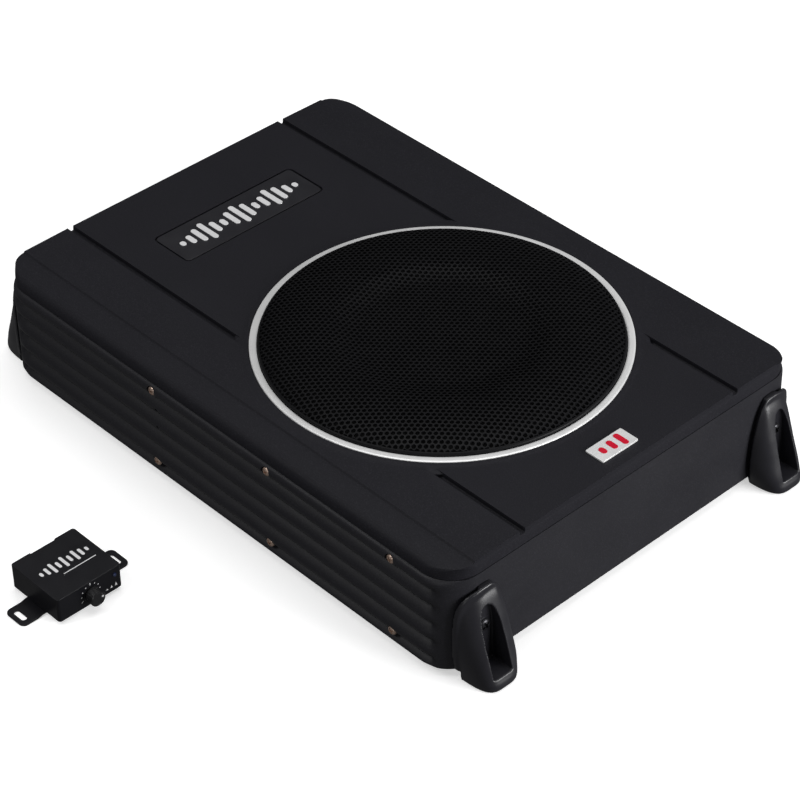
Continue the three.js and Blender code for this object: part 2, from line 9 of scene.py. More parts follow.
import bmesh
import bpy
import numpy as np
from mathutils import Matrix, Vector


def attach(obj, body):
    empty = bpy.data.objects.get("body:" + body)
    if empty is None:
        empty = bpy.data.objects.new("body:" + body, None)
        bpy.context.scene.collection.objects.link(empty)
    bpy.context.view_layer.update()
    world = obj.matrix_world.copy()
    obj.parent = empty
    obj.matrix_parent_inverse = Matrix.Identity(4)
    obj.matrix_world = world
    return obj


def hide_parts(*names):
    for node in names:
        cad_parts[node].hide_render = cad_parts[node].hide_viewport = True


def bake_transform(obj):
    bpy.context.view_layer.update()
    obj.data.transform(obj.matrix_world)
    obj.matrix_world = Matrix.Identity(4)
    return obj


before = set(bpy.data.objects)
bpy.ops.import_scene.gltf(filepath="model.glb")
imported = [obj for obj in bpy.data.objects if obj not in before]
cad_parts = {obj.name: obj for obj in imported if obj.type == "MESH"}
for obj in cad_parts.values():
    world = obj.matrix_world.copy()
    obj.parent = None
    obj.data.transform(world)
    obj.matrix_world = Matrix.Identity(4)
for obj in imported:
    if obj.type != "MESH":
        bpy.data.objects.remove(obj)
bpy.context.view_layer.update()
scene = bpy.context.scene
scene.view_settings.view_transform = "Standard"
MM = 0.001

# ------------------------------------------------------------------ the object's own dimensions
LENGTH, WIDTH, CORNER_R = 345.0, 250.0, 20.0
END_WALL, SIDE_WALL = 4.0, 6.5
BODY_TOP, LID_BOTTOM, DECK_Z = 56.5, 56.9, 66.0
SEAM_INSET = 2.2
RIB_PITCH, RIB_DEPTH, FIRST_VALLEY, RIB_COUNT = 11.2, 4.2, 3.9, 5
RIB_END = 164.5
SHOULDER_Z, LOWER_EDGE_R, UPPER_EDGE_R = 52.3, 1.2, 0.5
GROOVE_Y, GROOVE_W, GROOVE_DEPTH = 75.4, 3.8, 2.8
WOOFER_X = 39.2
RING_R, RING_INNER_R, RING_TOP = 99.0, 95.0, 66.6
COLLAR_R, APERTURE_R = 106.5, 90.5
SIDE_SCREW_X = (-45.0, 43.4, 132.6)
SIDE_SCREW_Z = (6.2, 52.4)
FOOT_Y, FOOT_SOLE, FOOT_SCREW_Z = 104.5, -4.4, 27.0
APEX_Y = -6.0
EMBLEM_X, EMBLEM_Y, EMBLEM_W, EMBLEM_L = -117.6, -1.8, 28.0, 96.0
BADGE_X, BADGE_Y = 159.2, -0.6
PANEL_FACE = -171.8
PANEL_KNOB_Z = 34
PANEL_KNOBS = (("gain_knob", "gain_control", -42), ("crossover_knob", "crossover_control", -56),
               ("bass_boost_knob", "bass_boost_control", -70))
JACK_Y = 12
JACKS = (("rca_jack_left", 38), ("rca_jack_right", 21))
REMOTE_X, REMOTE_Y = -9.9, -211.2
REMOTE_LX, REMOTE_LY, REMOTE_H = 37.6, 39.4, 15.6
REMOTE_FACE, REMOTE_BACK = REMOTE_X + REMOTE_LX / 2, REMOTE_X - REMOTE_LX / 2
REMOTE_TOP = FOOT_SOLE + REMOTE_H + 0.7
REMOTE_KNOB_Y, REMOTE_KNOB_Z = REMOTE_Y + 0.4, FOOT_SOLE + 9
ABOVE_ALL = 80.0  # cutters run up to here, past everything


# ------------------------------------------------------------------ procedural finishes
def finish(name, colour, rough, metal=0.0, mottle=0.12, mottle_size=18.0, grain=0.0, grain_size=0.5,
           rough_spread=0.06, coat=0.0, stretch=(1, 1, 1), fleck=0.0, sheen=0.0, spec=0.5, glow=0.0):
    """One finish: a base colour with broad mottling and fine flecks, uneven gloss and a fine grain."""
    mat = bpy.data.materials.new(name)
    mat.use_nodes = True
    tree = mat.node_tree
    nodes, links = tree.nodes, tree.links
    bsdf = nodes["Principled BSDF"]
    bsdf.inputs["Metallic"].default_value = metal
    bsdf.inputs["Coat Weight"].default_value = coat
    bsdf.inputs["Coat Roughness"].default_value = 0.12
    bsdf.inputs["Sheen Weight"].default_value = sheen
    bsdf.inputs["Specular IOR Level"].default_value = spec
    bsdf.inputs["Emission Color"].default_value = (1, 1, 1, 1)
    bsdf.inputs["Emission Strength"].default_value = glow
    coords = nodes.new("ShaderNodeTexCoord")
    mapping = nodes.new("ShaderNodeMapping")
    mapping.inputs["Scale"].default_value = stretch
    links.new(coords.outputs["Object"], mapping.inputs["Vector"])

    def noise(size, detail):
        n = nodes.new("ShaderNodeTexNoise")
        n.inputs["Scale"].default_value = 1.0 / (size * MM)
        n.inputs["Detail"].default_value = detail
        links.new(mapping.outputs["Vector"], n.inputs["Vector"])
        return n.outputs["Fac"]

    broad = noise(mottle_size, 4.0)
    fine = noise(grain_size, 2.0)
    base = nodes.new("ShaderNodeMix")
    base.data_type = "RGBA"
    base.inputs["A"].default_value = (*[c * (1 - mottle) for c in colour], 1)
    base.inputs["B"].default_value = (*[min(1, c * (1 + mottle)) for c in colour], 1)
    links.new(broad, base.inputs["Factor"])
    top = base.outputs["Result"]
    if fleck:
        lift = nodes.new("ShaderNodeMapRange")
        lift.inputs["From Min"].default_value = 0.52
        lift.inputs["From Max"].default_value = 0.72
        lift.inputs["To Max"].default_value = fleck
        links.new(fine, lift.inputs["Value"])
        spots = nodes.new("ShaderNodeMix")
        spots.data_type = "RGBA"
        links.new(lift.outputs["Result"], spots.inputs["Factor"])
        links.new(top, spots.inputs["A"])
        spots.inputs["B"].default_value = (*[min(1, c * 2.6 + 0.01) for c in colour], 1)
        top = spots.outputs["Result"]
    links.new(top, bsdf.inputs["Base Color"])
    gloss = nodes.new("ShaderNodeMapRange")
    gloss.inputs["From Min"].default_value = 0.3
    gloss.inputs["From Max"].default_value = 0.7
    gloss.inputs["To Min"].default_value = max(0.02, rough - rough_spread)
    gloss.inputs["To Max"].default_value = min(1.0, rough + rough_spread)
    links.new(broad, gloss.inputs["Value"])
    links.new(gloss.outputs["Result"], bsdf.inputs["Roughness"])
    if grain:
        bump = nodes.new("ShaderNodeBump")
        bump.inputs["Strength"].default_value = 1.0
        bump.inputs["Distance"].default_value = grain * MM
        links.new(fine, bump.inputs["Height"])
        links.new(bump.outputs["Normal"], bsdf.inputs["Normal"])
    return mat


BLACK = (0.0120, 0.0118, 0.0150)

# Each finish: its name, colour, roughness, metal, mottle and its size, grain height and size, and
# how far the roughness strays.
FINISHES = {
    "coat": finish("powder_coat", BLACK, 0.52, 0.0, 0.10, 40, 0.035, 0.55, 0.05, fleck=0.35, spec=0.12),
    "rib": finish("powder_coat_ribs", BLACK, 0.5, 0.0, 0.10, 40, 0.035, 0.55, 0.05, fleck=0.35, spec=0.3),
    "sheet": finish("painted_steel", BLACK, 0.42, 0.0, 0.12, 25, 0.02, 0.5, 0.06, fleck=0.2, spec=0.3),
    "grille": finish("painted_mesh", (0.0052, 0.0052, 0.006), 0.45, 0.0, 0.12, 14, 0.01, 0.4, 0.06,
                     fleck=0.2, spec=0.1),
    "silver": finish("satin_silver", (0.8, 0.8, 0.8), 0.34, 0.3, 0.04, 12, 0.006, 0.25, 0.05),
    "mould": finish("moulded_nylon", BLACK, 0.36, 0.0, 0.10, 12, 0.012, 0.35, 0.06, fleck=0.2, spec=0.4),
    "gloss": finish("moulded_gloss", (0.011, 0.011, 0.012), 0.26, 0.0, 0.08, 10, 0.004, 0.35, 0.05),
    "satin": finish("satin_black", (0.006, 0.006, 0.008), 0.36, 0.0, 0.12, 9, 0.008, 0.3, 0.05,
                    fleck=0.15, spec=0.25),
    "grey": finish("moulded_grey", (0.035, 0.035, 0.038), 0.45, 0.0, 0.1, 10, 0.01, 0.35, 0.05, fleck=0.1),
    "pale": finish("switch_grey", (0.5, 0.5, 0.5), 0.5, 0.0, 0.06, 8, 0.008, 0.3, 0.05),
    "rubber": finish("rubber", (0.004, 0.004, 0.0042), 0.78, 0.0, 0.14, 9, 0.03, 0.3, 0.08, spec=0.15),
    "screw": finish("plated_screw", (0.55, 0.41, 0.33), 0.3, 0.6, 0.22, 2.5, 0.01, 0.2, 0.1),
    "dark_screw": finish("blackened_screw", (0.03, 0.03, 0.034), 0.35, 0.7, 0.22, 2.5, 0.01, 0.2, 0.1),
    "steel": finish("painted_basket", (0.006, 0.006, 0.0065), 0.45, 0.0, 0.12, 20, 0.02, 0.5, 0.06,
                    fleck=0.2, spec=0.2),
    "zinc": finish("zinc_plate", (0.45, 0.45, 0.46), 0.36, 1.0, 0.14, 12, 0.01, 0.4, 0.09),
    "ferrite": finish("ferrite", (0.03, 0.03, 0.032), 0.7, 0.0, 0.25, 6, 0.03, 0.4, 0.08, fleck=0.3),
    "copper": finish("enamelled_copper", (0.5, 0.19, 0.06), 0.32, 0.9, 0.18, 3, 0.05, 0.45, 0.08,
                     stretch=(0.15, 0.15, 3)),
    "cone": finish("paper_cone", (0.003, 0.003, 0.0032), 0.7, 0.0, 0.2, 7, 0.04, 0.5, 0.08,
                   fleck=0.4, spec=0.1),
    "cloth": finish("spider_cloth", (0.45, 0.33, 0.15), 0.85, 0.0, 0.16, 3, 0.08, 0.5, 0.08, sheen=0.3),
    "board": finish("solder_mask", (0.02, 0.11, 0.04), 0.4, 0.0, 0.2, 5, 0.01, 0.5, 0.08, fleck=0.2),
    "fin": finish("aluminium_bar", (0.55, 0.55, 0.57), 0.4, 1.0, 0.1, 8, 0.02, 0.4, 0.08,
                  stretch=(0.1, 3, 3)),
    "blue": finish("shrink_sleeve", (0.015, 0.025, 0.08), 0.25, 0.0, 0.1, 6, 0.004, 0.4, 0.05),
    "amber": finish("fuse_plastic", (0.5, 0.1, 0.015), 0.25, 0.0, 0.1, 4, 0.004, 0.3, 0.05, coat=0.3),
    "white": finish("jack_white", (0.7, 0.7, 0.69), 0.32, 0.0, 0.05, 5, 0.004, 0.3, 0.05),
    "red": finish("jack_red", (0.42, 0.015, 0.02), 0.32, 0.0, 0.08, 5, 0.004, 0.3, 0.05),
    "redink": finish("red_enamel", (0.56, 0.0, 0.022), 0.3, 0.0, 0.05, 4, 0.003, 0.3, 0.04),
    "ink": finish("pale_ink", (0.74, 0.74, 0.75), 0.5, 0.0, 0.05, 3, 0.004, 0.2, 0.05),
    "chrome": finish("emblem_silver", (0.82, 0.82, 0.83), 0.32, 0.2, 0.05, 9, 0.004, 0.25, 0.05),
    "led": finish("led_lens", (0.02, 0.03, 0.08), 0.12, 0.0, 0.1, 2, 0.002, 0.3, 0.03, coat=0.4),
    "brass": finish("contact_brass", (0.62, 0.45, 0.18), 0.3, 1.0, 0.1, 2, 0.004, 0.2, 0.06),
}


# ------------------------------------------------------------------ mesh helpers
def raw_object(name, verts, faces):
    mesh = bpy.data.meshes.new(name)
    mesh.from_pydata([tuple(MM * c for c in v) for v in verts], [], faces)
    mesh.validate()
    ob = bpy.data.objects.new(name, mesh)
    scene.collection.objects.link(ob)
    return ob


def bake(ob):
    """Applies an object's modifiers to its own mesh."""
    graph = bpy.context.evaluated_depsgraph_get()
    made = bpy.data.meshes.new_from_object(ob.evaluated_get(graph))
    ob.modifiers.clear()
    old = ob.data
    ob.data = made
    bpy.data.meshes.remove(old)
    return ob


def combine(base, others, operation):
    """Joins, cuts or intersects a mesh with others, which are used up."""
    for other in others:
        mod = base.modifiers.new("b", "BOOLEAN")
        mod.operation = operation
        mod.solver = "EXACT"
        mod.object = other
    bake(base)
    for other in others:
        bpy.data.objects.remove(other)
    return base


def soften(ob, width, segments=2, angle=35):
    """Rounds the sharp edges and keeps the flats flat."""
    bevel = ob.modifiers.new("bevel", "BEVEL")
    bevel.width = width * MM
    bevel.segments = segments
    bevel.limit_method = "ANGLE"
    bevel.angle_limit = math.radians(angle)
    bevel.miter_outer = "MITER_ARC"
    bake(ob)
    shade(ob, 32)
    ob.modifiers.new("normals", "WEIGHTED_NORMAL").keep_sharp = True
    return bake(ob)


def shade(ob, angle):
    """Smooth shading, broken at edges sharper than the angle."""
    ob.data.polygons.foreach_set("use_smooth", [True] * len(ob.data.polygons))
    ob.data.set_sharp_from_angle(angle=math.radians(angle))


def dress(ob, material, body="enclosure", stands_for=(), sharp=38):
    """Gives a finished mesh its finish, its shading and its place on a CAD body."""
    ob.data.materials.clear()
    ob.data.materials.append(FINISHES[material])
    if sharp:
        shade(ob, sharp)
    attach(ob, body)
    if stands_for:
        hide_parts(*stands_for)
    return ob


def lathe(name, profile, segments=96, place=None):
    """Turns (radius, height) pairs about Z. A closed profile ends where it starts; an open one ends on
    the axis.
    """
    closed = profile[0] == profile[-1]
    rows = profile[:-1] if closed else profile
    verts, index, faces = [], [], []
    for r, z in rows:
        if r < 1e-6:
            index.append([len(verts)] * segments)
            verts.append((0, 0, z))
            continue
        index.append(list(range(len(verts), len(verts) + segments)))
        for k in range(segments):
            a = 2 * math.pi * k / segments
            verts.append((r * math.cos(a), r * math.sin(a), z))
    count = len(rows) if closed else len(rows) - 1
    for i in range(count):
        a, b = index[i], index[(i + 1) % len(rows)]
        for k in range(segments):
            m = (k + 1) % segments
            loop = []
            for v in (a[k], a[m], b[m], b[k]):
                if v not in loop:
                    loop.append(v)
            if len(loop) > 2:
                faces.append(loop)
    if place is not None:
        verts = [tuple(place @ Vector(v)) for v in verts]
    return outward(raw_object(name, verts, faces))


def outward(ob):
    """Turns every face of a closed mesh outwards."""
    bm = bmesh.new()
    bm.from_mesh(ob.data)
    bmesh.ops.recalc_face_normals(bm, faces=bm.faces)
    bm.to_mesh(ob.data)
    bm.free()
    return ob


def prism(name, outline, lo, hi, axis="z"):
    """A flat outline run between two levels along an axis. Outlines are (x, y), (y, z) or (x, z) pairs."""
    n = len(outline)

    def at(u, v, w):
        return {"x": (w, u, v), "y": (u, w, v), "z": (u, v, w)}[axis]

    verts = [at(u, v, lo) for u, v in outline] + [at(u, v, hi) for u, v in outline]
    faces = [tuple(range(n - 1, -1, -1)), tuple(range(n, 2 * n))]
    faces += [(k, (k + 1) % n, n + (k + 1) % n, n + k) for k in range(n)]
    return outward(raw_object(name, verts, faces))


def stack(name, levels):
    """A solid through flat outlines of as many points each, one above the other."""
    n = len(levels[0][1])
    verts = [(x, y, z) for z, outline in levels for x, y in outline]
    faces = [tuple(range(n - 1, -1, -1)), tuple(range(len(verts) - n, len(verts)))]
    for low in range(0, len(verts) - n, n):
        high = low + n
        faces += [(low + k, low + (k + 1) % n, high + (k + 1) % n, high + k) for k in range(n)]
    return outward(raw_object(name, verts, faces))


def rounded_rect(w, h, r, cx=0.0, cy=0.0, steps=10):
    points = []
    for sx, sy, start in ((1, -1, -90), (1, 1, 0), (-1, 1, 90), (-1, -1, 180)):
        for k in range(steps + 1):
            a = math.radians(start + 90 * k / steps)
            x = cx + sx * (w / 2 - r) + r * math.cos(a)
            y = cy + sy * (h / 2 - r) + r * math.sin(a)
            points.append((x, y))
    return points


def spline(points, steps=6):
    """A smooth open curve through the points."""
    last = len(points) - 1
    made = []
    for i in range(last):
        p = [np.array(points[min(max(i + k, 0), last)], float) for k in (-1, 0, 1, 2)]
        for s in range(steps):
            t = s / steps
            bend = 2 * p[0] - 5 * p[1] + 4 * p[2] - p[3]
            twist = 3 * p[1] - p[0] - 3 * p[2] + p[3]
            made.append(tuple(0.5 * (2 * p[1] + (p[2] - p[0]) * t + bend * t * t + twist * t ** 3)))
    made.append(tuple(points[-1]))
    return made


def box(name, x0, x1, y0, y1, z0, z1):
    return prism(name, [(x0, y0), (x1, y0), (x1, y1), (x0, y1)], z0, z1)


def along(axis, x, y, z):
    """A placement that turns a lathe's +Z to the named axis and moves it."""
    turn = {"+x": Matrix.Rotation(math.pi / 2, 4, "Y"), "-x": Matrix.Rotation(-math.pi / 2, 4, "Y"),
            "+y": Matrix.Rotation(-math.pi / 2, 4, "X"), "-y": Matrix.Rotation(math.pi / 2, 4, "X"),
            "+z": Matrix.Identity(4)}[axis]
    return Matrix.Translation((x, y, z)) @ turn


def put(ob, place):
    """Moves a mesh that was made about its own Z to its place."""
    ob.data.transform(Matrix.Translation(place.translation * MM) @ place.to_3x3().to_4x4())
    return ob


def rod(name, r, length, axis, x, y, z, segments=32):
    return lathe(name, [(0, 0), (r, 0), (r, length), (0, length)], segments, along(axis, x, y, z))


def joined(name, parts):
    """Several closed bodies as one piece."""
    verts, faces = [], []
    for ob in parts:
        base = len(verts)
        verts += [tuple(v.co / MM) for v in ob.data.vertices]
        faces += [[base + i for i in p.vertices] for p in ob.data.polygons]
        bpy.data.objects.remove(ob)
    return raw_object(name, verts, faces)


# ------------------------------------------------------------------ ribbed housing
def smoothstep(a, b, v):
    t = min(1.0, max(0.0, (v - a) / (b - a)))
    return t * t * (3 - 2 * t)


def rib_inset(x, z):
    """How far the ribbed side is set in from its outermost face."""
    deepest = 0.0
    for band in range(RIB_COUNT):
        valley = FIRST_VALLEY + band * RIB_PITCH
        reach = RIB_PITCH / 2
        if band == RIB_COUNT - 1 and z > valley:
            reach = SHOULDER_Z - valley
        past = max(0.0, abs(x) - (RIB_END - 6.0)) / 6.0
        t = math.hypot((z - valley) / reach, past)
        if t < 1:
            soft = math.sqrt(t * t + 0.0016) - 0.04
            rise = math.sin(math.pi / 2 * max(0.0, soft)) ** 0.8
            deepest = max(deepest, RIB_DEPTH * (1 - rise))
    return deepest


def housing_columns(xs):
    """The outline from above, anticlockwise from the near side: each point with its outward direction."""
    r = CORNER_R
    straight = LENGTH / 2 - r
    columns = [(x, -WIDTH / 2, 0.0, -1.0) for x in xs]
    corners = ((straight, -WIDTH / 2 + r, -90), (straight, WIDTH / 2 - r, 0),
               (-straight, WIDTH / 2 - r, 90), (-straight, -WIDTH / 2 + r, 180))
    for corner, (cx, cy, start) in enumerate(corners):
        for k in range(29):
            a = math.radians(start + 90 * k / 28)
            columns.append((cx + r * math.cos(a), cy + r * math.sin(a), math.cos(a), math.sin(a)))
        if corner == 0:
            columns += [(LENGTH / 2, y, 1.0, 0.0) for y in range(-95, 96, 19)]
        if corner == 1:
            columns += [(x, WIDTH / 2, 0.0, 1.0) for x in reversed(xs)]
        if corner == 2:
            columns += [(-LENGTH / 2, y, -1.0, 0.0) for y in range(95, -96, -19)]
    return columns


def wall_inset(x, z, ny):
    """How far the wall is set in: by the ribs, the shoulder under the seam and the rounded edges."""
    inset = rib_inset(x, z) if abs(ny) > 0.2 else 0.0
    side = smoothstep(0.25, 0.98, abs(ny))
    if z > SHOULDER_Z:
        t = (z - SHOULDER_Z) / (BODY_TOP - SHOULDER_Z)
        inset = max(inset, side * SEAM_INSET * (1 - math.sqrt(max(0.0, 1 - t * t * 0.9))) * 1.45)
    if z < LOWER_EDGE_R:
        inset += 1.0 * (1 - math.sqrt(max(0.0, 1 - ((LOWER_EDGE_R - z) / LOWER_EDGE_R) ** 2)))
    if z > BODY_TOP - UPPER_EDGE_R:
        inset += 0.35 * side * ((z - BODY_TOP + UPPER_EDGE_R) / UPPER_EDGE_R) ** 2
    return inset


def housing_cuts():
    """The panel opening, the screw seats and holes, and the two small holes on the near side."""
    cuts = [box("cut", -LENGTH / 2 - 2, -LENGTH / 2 + END_WALL + 1, -80, 80, 8, 51)]
    for side in (-1, 1):
        for x in SIDE_SCREW_X:
            for z in SIDE_SCREW_Z:
                cuts.append(rod("cut", 3.0, 1.85, "+y", x, side * (WIDTH / 2 - 0.9) - 0.95, z))
    for z in (42.3, 31.1):
        cuts.append(rod("cut", 0.9, 4, "+y", -41.5, -WIDTH / 2 - 1, z, 16))
    for end in (-1, 1):
        for side in (-1, 1):
            cuts.append(rod("cut", 2.0, 12, "+x", end * (LENGTH / 2 - 2) - 6, side * FOOT_Y, FOOT_SCREW_Z))
    return joined("cuts", cuts)


def housing():
    """The ribbed shell, open above and below."""
    ends = [144 + 0.85 * k for k in range(11)]
    xs = sorted(-v for v in ends) + [k * 10.0 for k in range(-14, 15)] + ends
    columns = housing_columns(xs)
    levels = [0.0, 0.25, 0.7] + [1.3 + 0.6 * k for k in range(85)]
    levels += [SHOULDER_Z, 53.0, 53.7, 54.4, 55.1, 55.7, 56.2, BODY_TOP]
    verts = []
    for z in levels:
        for x, y, nx, ny in columns:
            inset = wall_inset(x, z, ny)
            verts.append((x - nx * inset, y - ny * inset, z))
    n = len(columns)
    top = len(verts) - n
    faces = [(low + k, low + (k + 1) % n, low + n + (k + 1) % n, low + n + k)
             for low in range(0, top, n) for k in range(n)]
    inner = []
    for z in (BODY_TOP, 0.0):
        inner.append(len(verts))
        for x, y, nx, ny in columns:
            wall = END_WALL + (SIDE_WALL - END_WALL) * abs(ny)
            verts.append((x - nx * wall, y - ny * wall, z))
    for k in range(n):
        m = (k + 1) % n
        faces.append((top + k, top + m, inner[0] + m, inner[0] + k))
        faces.append((inner[0] + k, inner[0] + m, inner[1] + m, inner[1] + k))
        faces.append((inner[1] + k, inner[1] + m, m, k))
    shell = outward(raw_object("housing_shell", verts, faces))
    combine(shell, [housing_cuts()], "DIFFERENCE")
    return dress(shell, "rib", stands_for=["housing_body"], sharp=40)


# ------------------------------------------------------------------ top cover
def deck():
    """The cover: a cambered top with two grooves, a rounded shoulder and the woofer's raised collar."""
    inner, outer = GROOVE_Y - GROOVE_W / 2, GROOVE_Y + GROOVE_W / 2
    floor_z = DECK_Z - GROOVE_DEPTH
    slope = spline([(130, 59.4), (124, 61.3), (119, 62.9), (113, 64.1), (107.2, 64.8)], 4)
    right = [(130, 50)] + slope + [(106.4, 65.6), (outer, DECK_Z)]
    right += [(outer - 0.2, floor_z + 0.4), (outer - 0.6, floor_z), (inner + 0.6, floor_z),
              (inner + 0.2, floor_z + 0.4), (inner, DECK_Z)]
    section = right + [(-y, z) for y, z in reversed(right)]
    cover = prism("top_deck", section, -LENGTH / 2 - 1, LENGTH / 2 + 1, "x")
    shoulder = [(LID_BOTTOM, SEAM_INSET), (58.5, 2.4), (60.2, 3.0), (61.6, 4.0), (62.7, 5.4), (63.4, 7.2)]
    levels = []
    for z, inset in spline(shoulder, 5) + [(ABOVE_ALL, 7.2)]:
        r = 19 - 1.8 * (inset - SEAM_INSET)
        levels.append((z, rounded_rect(LENGTH - 0.1 * inset, WIDTH - 2 * inset, r, steps=24)))
    combine(cover, [stack("outline", levels)], "INTERSECT")
    at = along("+z", WOOFER_X, 0, 0)
    rise = [(0, 61), (COLLAR_R, 61), (COLLAR_R, DECK_Z - 1.0), (COLLAR_R - 0.3, DECK_Z - 0.7),
            (COLLAR_R - 1.2, DECK_Z - 0.4), (RING_R + 3, RING_TOP - 0.35), (RING_R + 1, RING_TOP - 0.2),
            (RING_R + 0.3, RING_TOP - 0.3), (RING_R - 2, RING_TOP - 0.3), (0, RING_TOP - 0.3)]
    combine(cover, [lathe("collar", rise, 192, at)], "UNION")
    seat_r = RING_R + 0.3
    seat = lathe("seat", [(0, 64.5), (seat_r, 64.5), (seat_r, ABOVE_ALL), (0, ABOVE_ALL)], 192, at)
    hole = lathe("hole", [(0, 50), (APERTURE_R, 50), (APERTURE_R, ABOVE_ALL), (0, ABOVE_ALL)], 192, at)
    recess_outline = rounded_rect(EMBLEM_W + 2, EMBLEM_L + 2, 3.5, EMBLEM_X, EMBLEM_Y)
    recess = prism("recess", recess_outline, DECK_Z - 1.5, ABOVE_ALL)
    under = prism("under", rounded_rect(LENGTH - 11, WIDTH - 28, CORNER_R - 6), 40, 62.4)
    # The hollow below goes first, so that no skin is left across the opening.
    for cutters in ([under], [seat], [hole, recess]):
        combine(cover, cutters, "DIFFERENCE")
    soften(cover, 0.3, 2, 32)
    return dress(cover, "coat", stands_for=["top_cover"], sharp=0)


# ------------------------------------------------------------------ ring and mesh grille
SHEET_EDGE_R = 94.3
SHEET_T = 1.0
HOLE_PITCH, HOLE_R, HOLE_TURN = 3.0, 1.2, math.radians(44)
DOME = [(0, 3.6), (20, 3.6), (38, 3.6), (42, 3.65), (45, 3.9), (50, 4.75), (55, 5.8), (58, 6.15),
        (64, 6.4), (72, 6.2), (80, 5.4), (86, 4.45), (90, 3.4), (92.5, 2.35), (94.6, 1.2)]
DOME_CURVE = np.array(spline(DOME, 8))


def dome_z(r):
    """The sheet's upper face at a radius: nearly flat in the middle, highest in a broad swell round it."""
    return RING_TOP + float(np.interp(r, DOME_CURVE[:, 0], DOME_CURVE[:, 1]))


def grille_sheet():
    """The pressed sheet: a hexagonal lattice of round holes, each in its own six-sided cell."""
    verts, faces, corner_of, edges = [], [], {}, {}

    def place(x, y, layer):
        r = math.hypot(x, y)
        if r > SHEET_EDGE_R:
            x, y, r = x * SHEET_EDGE_R / r, y * SHEET_EDGE_R / r, SHEET_EDGE_R
        verts.append((WOOFER_X + x, y, dome_z(r) - SHEET_T * layer))
        return len(verts) - 1

    def corner(x, y, layer):
        key = (round(x * 50), round(y * 50), layer)
        if key not in corner_of:
            corner_of[key] = place(x, y, layer)
        return corner_of[key]

    def ring(cx, cy, radius, count, layer, make):
        """Points round a hole, the first one at a corner of its cell."""
        turns = [HOLE_TURN + math.radians(30 + 360 / count * k) for k in range(count)]
        return [make(cx + radius * math.cos(a), cy + radius * math.sin(a), layer) for a in turns]

    a1 = (HOLE_PITCH * math.cos(HOLE_TURN), HOLE_PITCH * math.sin(HOLE_TURN))
    a2 = (HOLE_PITCH * math.cos(HOLE_TURN + math.pi / 3), HOLE_PITCH * math.sin(HOLE_TURN + math.pi / 3))
    cell_r = HOLE_PITCH / math.sqrt(3)
    reach = int(SHEET_EDGE_R / HOLE_PITCH * 1.3) + 2
    for i in range(-reach, reach + 1):
        for j in range(-reach, reach + 1):
            cx, cy = i * a1[0] + j * a2[0], i * a1[1] + j * a2[1]
            if math.hypot(cx, cy) > SHEET_EDGE_R - 0.5:
                continue
            top = ring(cx, cy, cell_r, 6, 0, corner)
            low = ring(cx, cy, cell_r, 6, 1, corner)
            foot = ring(cx, cy, HOLE_R, 6, 1, place)
            rim = ring(cx, cy, HOLE_R, 12, 0, place)
            for k in range(6):
                m = (k + 1) % 6
                h0, h1, h2 = rim[2 * k], rim[2 * k + 1], rim[(2 * k + 2) % 12]
                faces.append((top[k], top[m], h2, h1, h0))
                faces.append((h0, h1, h2, foot[m], foot[k]))
                faces.append((low[k], foot[k], foot[m], low[m]))
                pair = (top[k], top[m])
                if edges.pop((pair[1], pair[0]), None) is None:
                    edges[pair] = (low[k], low[m])
    for (t0, t1), (l0, l1) in edges.items():
        faces.append((t1, t0, l0, l1))
    sheet = raw_object("grille_sheet", verts, faces)
    return dress(sheet, "grille", stands_for=["grille"], sharp=35)


def grille_and_ring():
    """The mesh with its rolled rim, inside the silver ring with its rounded upper edges."""
    at = along("+z", WOOFER_X, 0, 0)
    grille_sheet()
    rim_r = RING_INNER_R - 0.25
    rim = [(rim_r, 65.0), (rim_r, 67.3), (94.65, 67.75), (94.3, 68.1), (93.8, 68.3), (93.5, 68.2),
           (93.6, 67.6), (93.7, 66.8), (93.6, 66.0), (91.4, 65.9), (91.4, 65.0), (rim_r, 65.0)]
    dress(lathe("grille_rim", rim, 192, at), "grille")
    low, top = 64.9, RING_TOP
    edge = [(0.0, -0.5), (0.15, -0.18), (0.5, -0.02), (1.2, 0.02)]
    ring = [(RING_INNER_R, low), (RING_R, low)] + [(RING_R - step, top + rise) for step, rise in edge]
    ring += [(RING_INNER_R + step, top + rise) for step, rise in reversed(edge)] + [(RING_INNER_R, low)]
    dress(lathe("silver_ring", ring, 256, at), "silver", stands_for=["trim_ring"])


# ------------------------------------------------------------------ emblem and corner badge
def plate_marks(name, bars, x, y, z, thick, material):
    """Upright bars of several heights, like a level display, as one thin raised piece."""
    parts = []
    for offset, long, wide in bars:
        outline = rounded_rect(long, wide, min(long, wide) / 2 - 0.01, x, y + offset, 5)
        parts.append(prism("bar", outline, z, z + thick))
    return dress(soften(joined(name, parts), thick * 0.3, 2), material, sharp=0)


def emblem_and_badge():
    plate_outline = rounded_rect(EMBLEM_W, EMBLEM_L, 2.6, EMBLEM_X, EMBLEM_Y)
    plate = soften(prism("emblem_panel", plate_outline, DECK_Z - 1.45, DECK_Z - 0.1), 0.25, 2)
    dress(plate, "mould", stands_for=["emblem_plate"], sharp=0)
    heights = (4, 8, 13, 17, 10, 6, 13, 18, 13, 6, 10, 17, 13, 8, 4)
    bars = [((k - 7) * 5.7, h, 3.3) for k, h in enumerate(heights)]
    plate_marks("emblem_level_bars", bars, EMBLEM_X, EMBLEM_Y, DECK_Z - 0.1, 0.4, "chrome")
    badge_outline = rounded_rect(12.2, 25, 0.8, BADGE_X, BADGE_Y, 4)
    badge = soften(prism("badge_plate", badge_outline, DECK_Z + 0.1, DECK_Z + 1.1), 0.2, 2)
    dress(badge, "silver", stands_for=["corner_badge"], sharp=0)
    bars = [(-6.4, 5.0, 3.4), (0, 7.2, 3.4), (6.4, 9.6, 3.4)]
    plate_marks("badge_red_bars", bars, BADGE_X, BADGE_Y, DECK_Z + 1.1, 0.12, "redink")


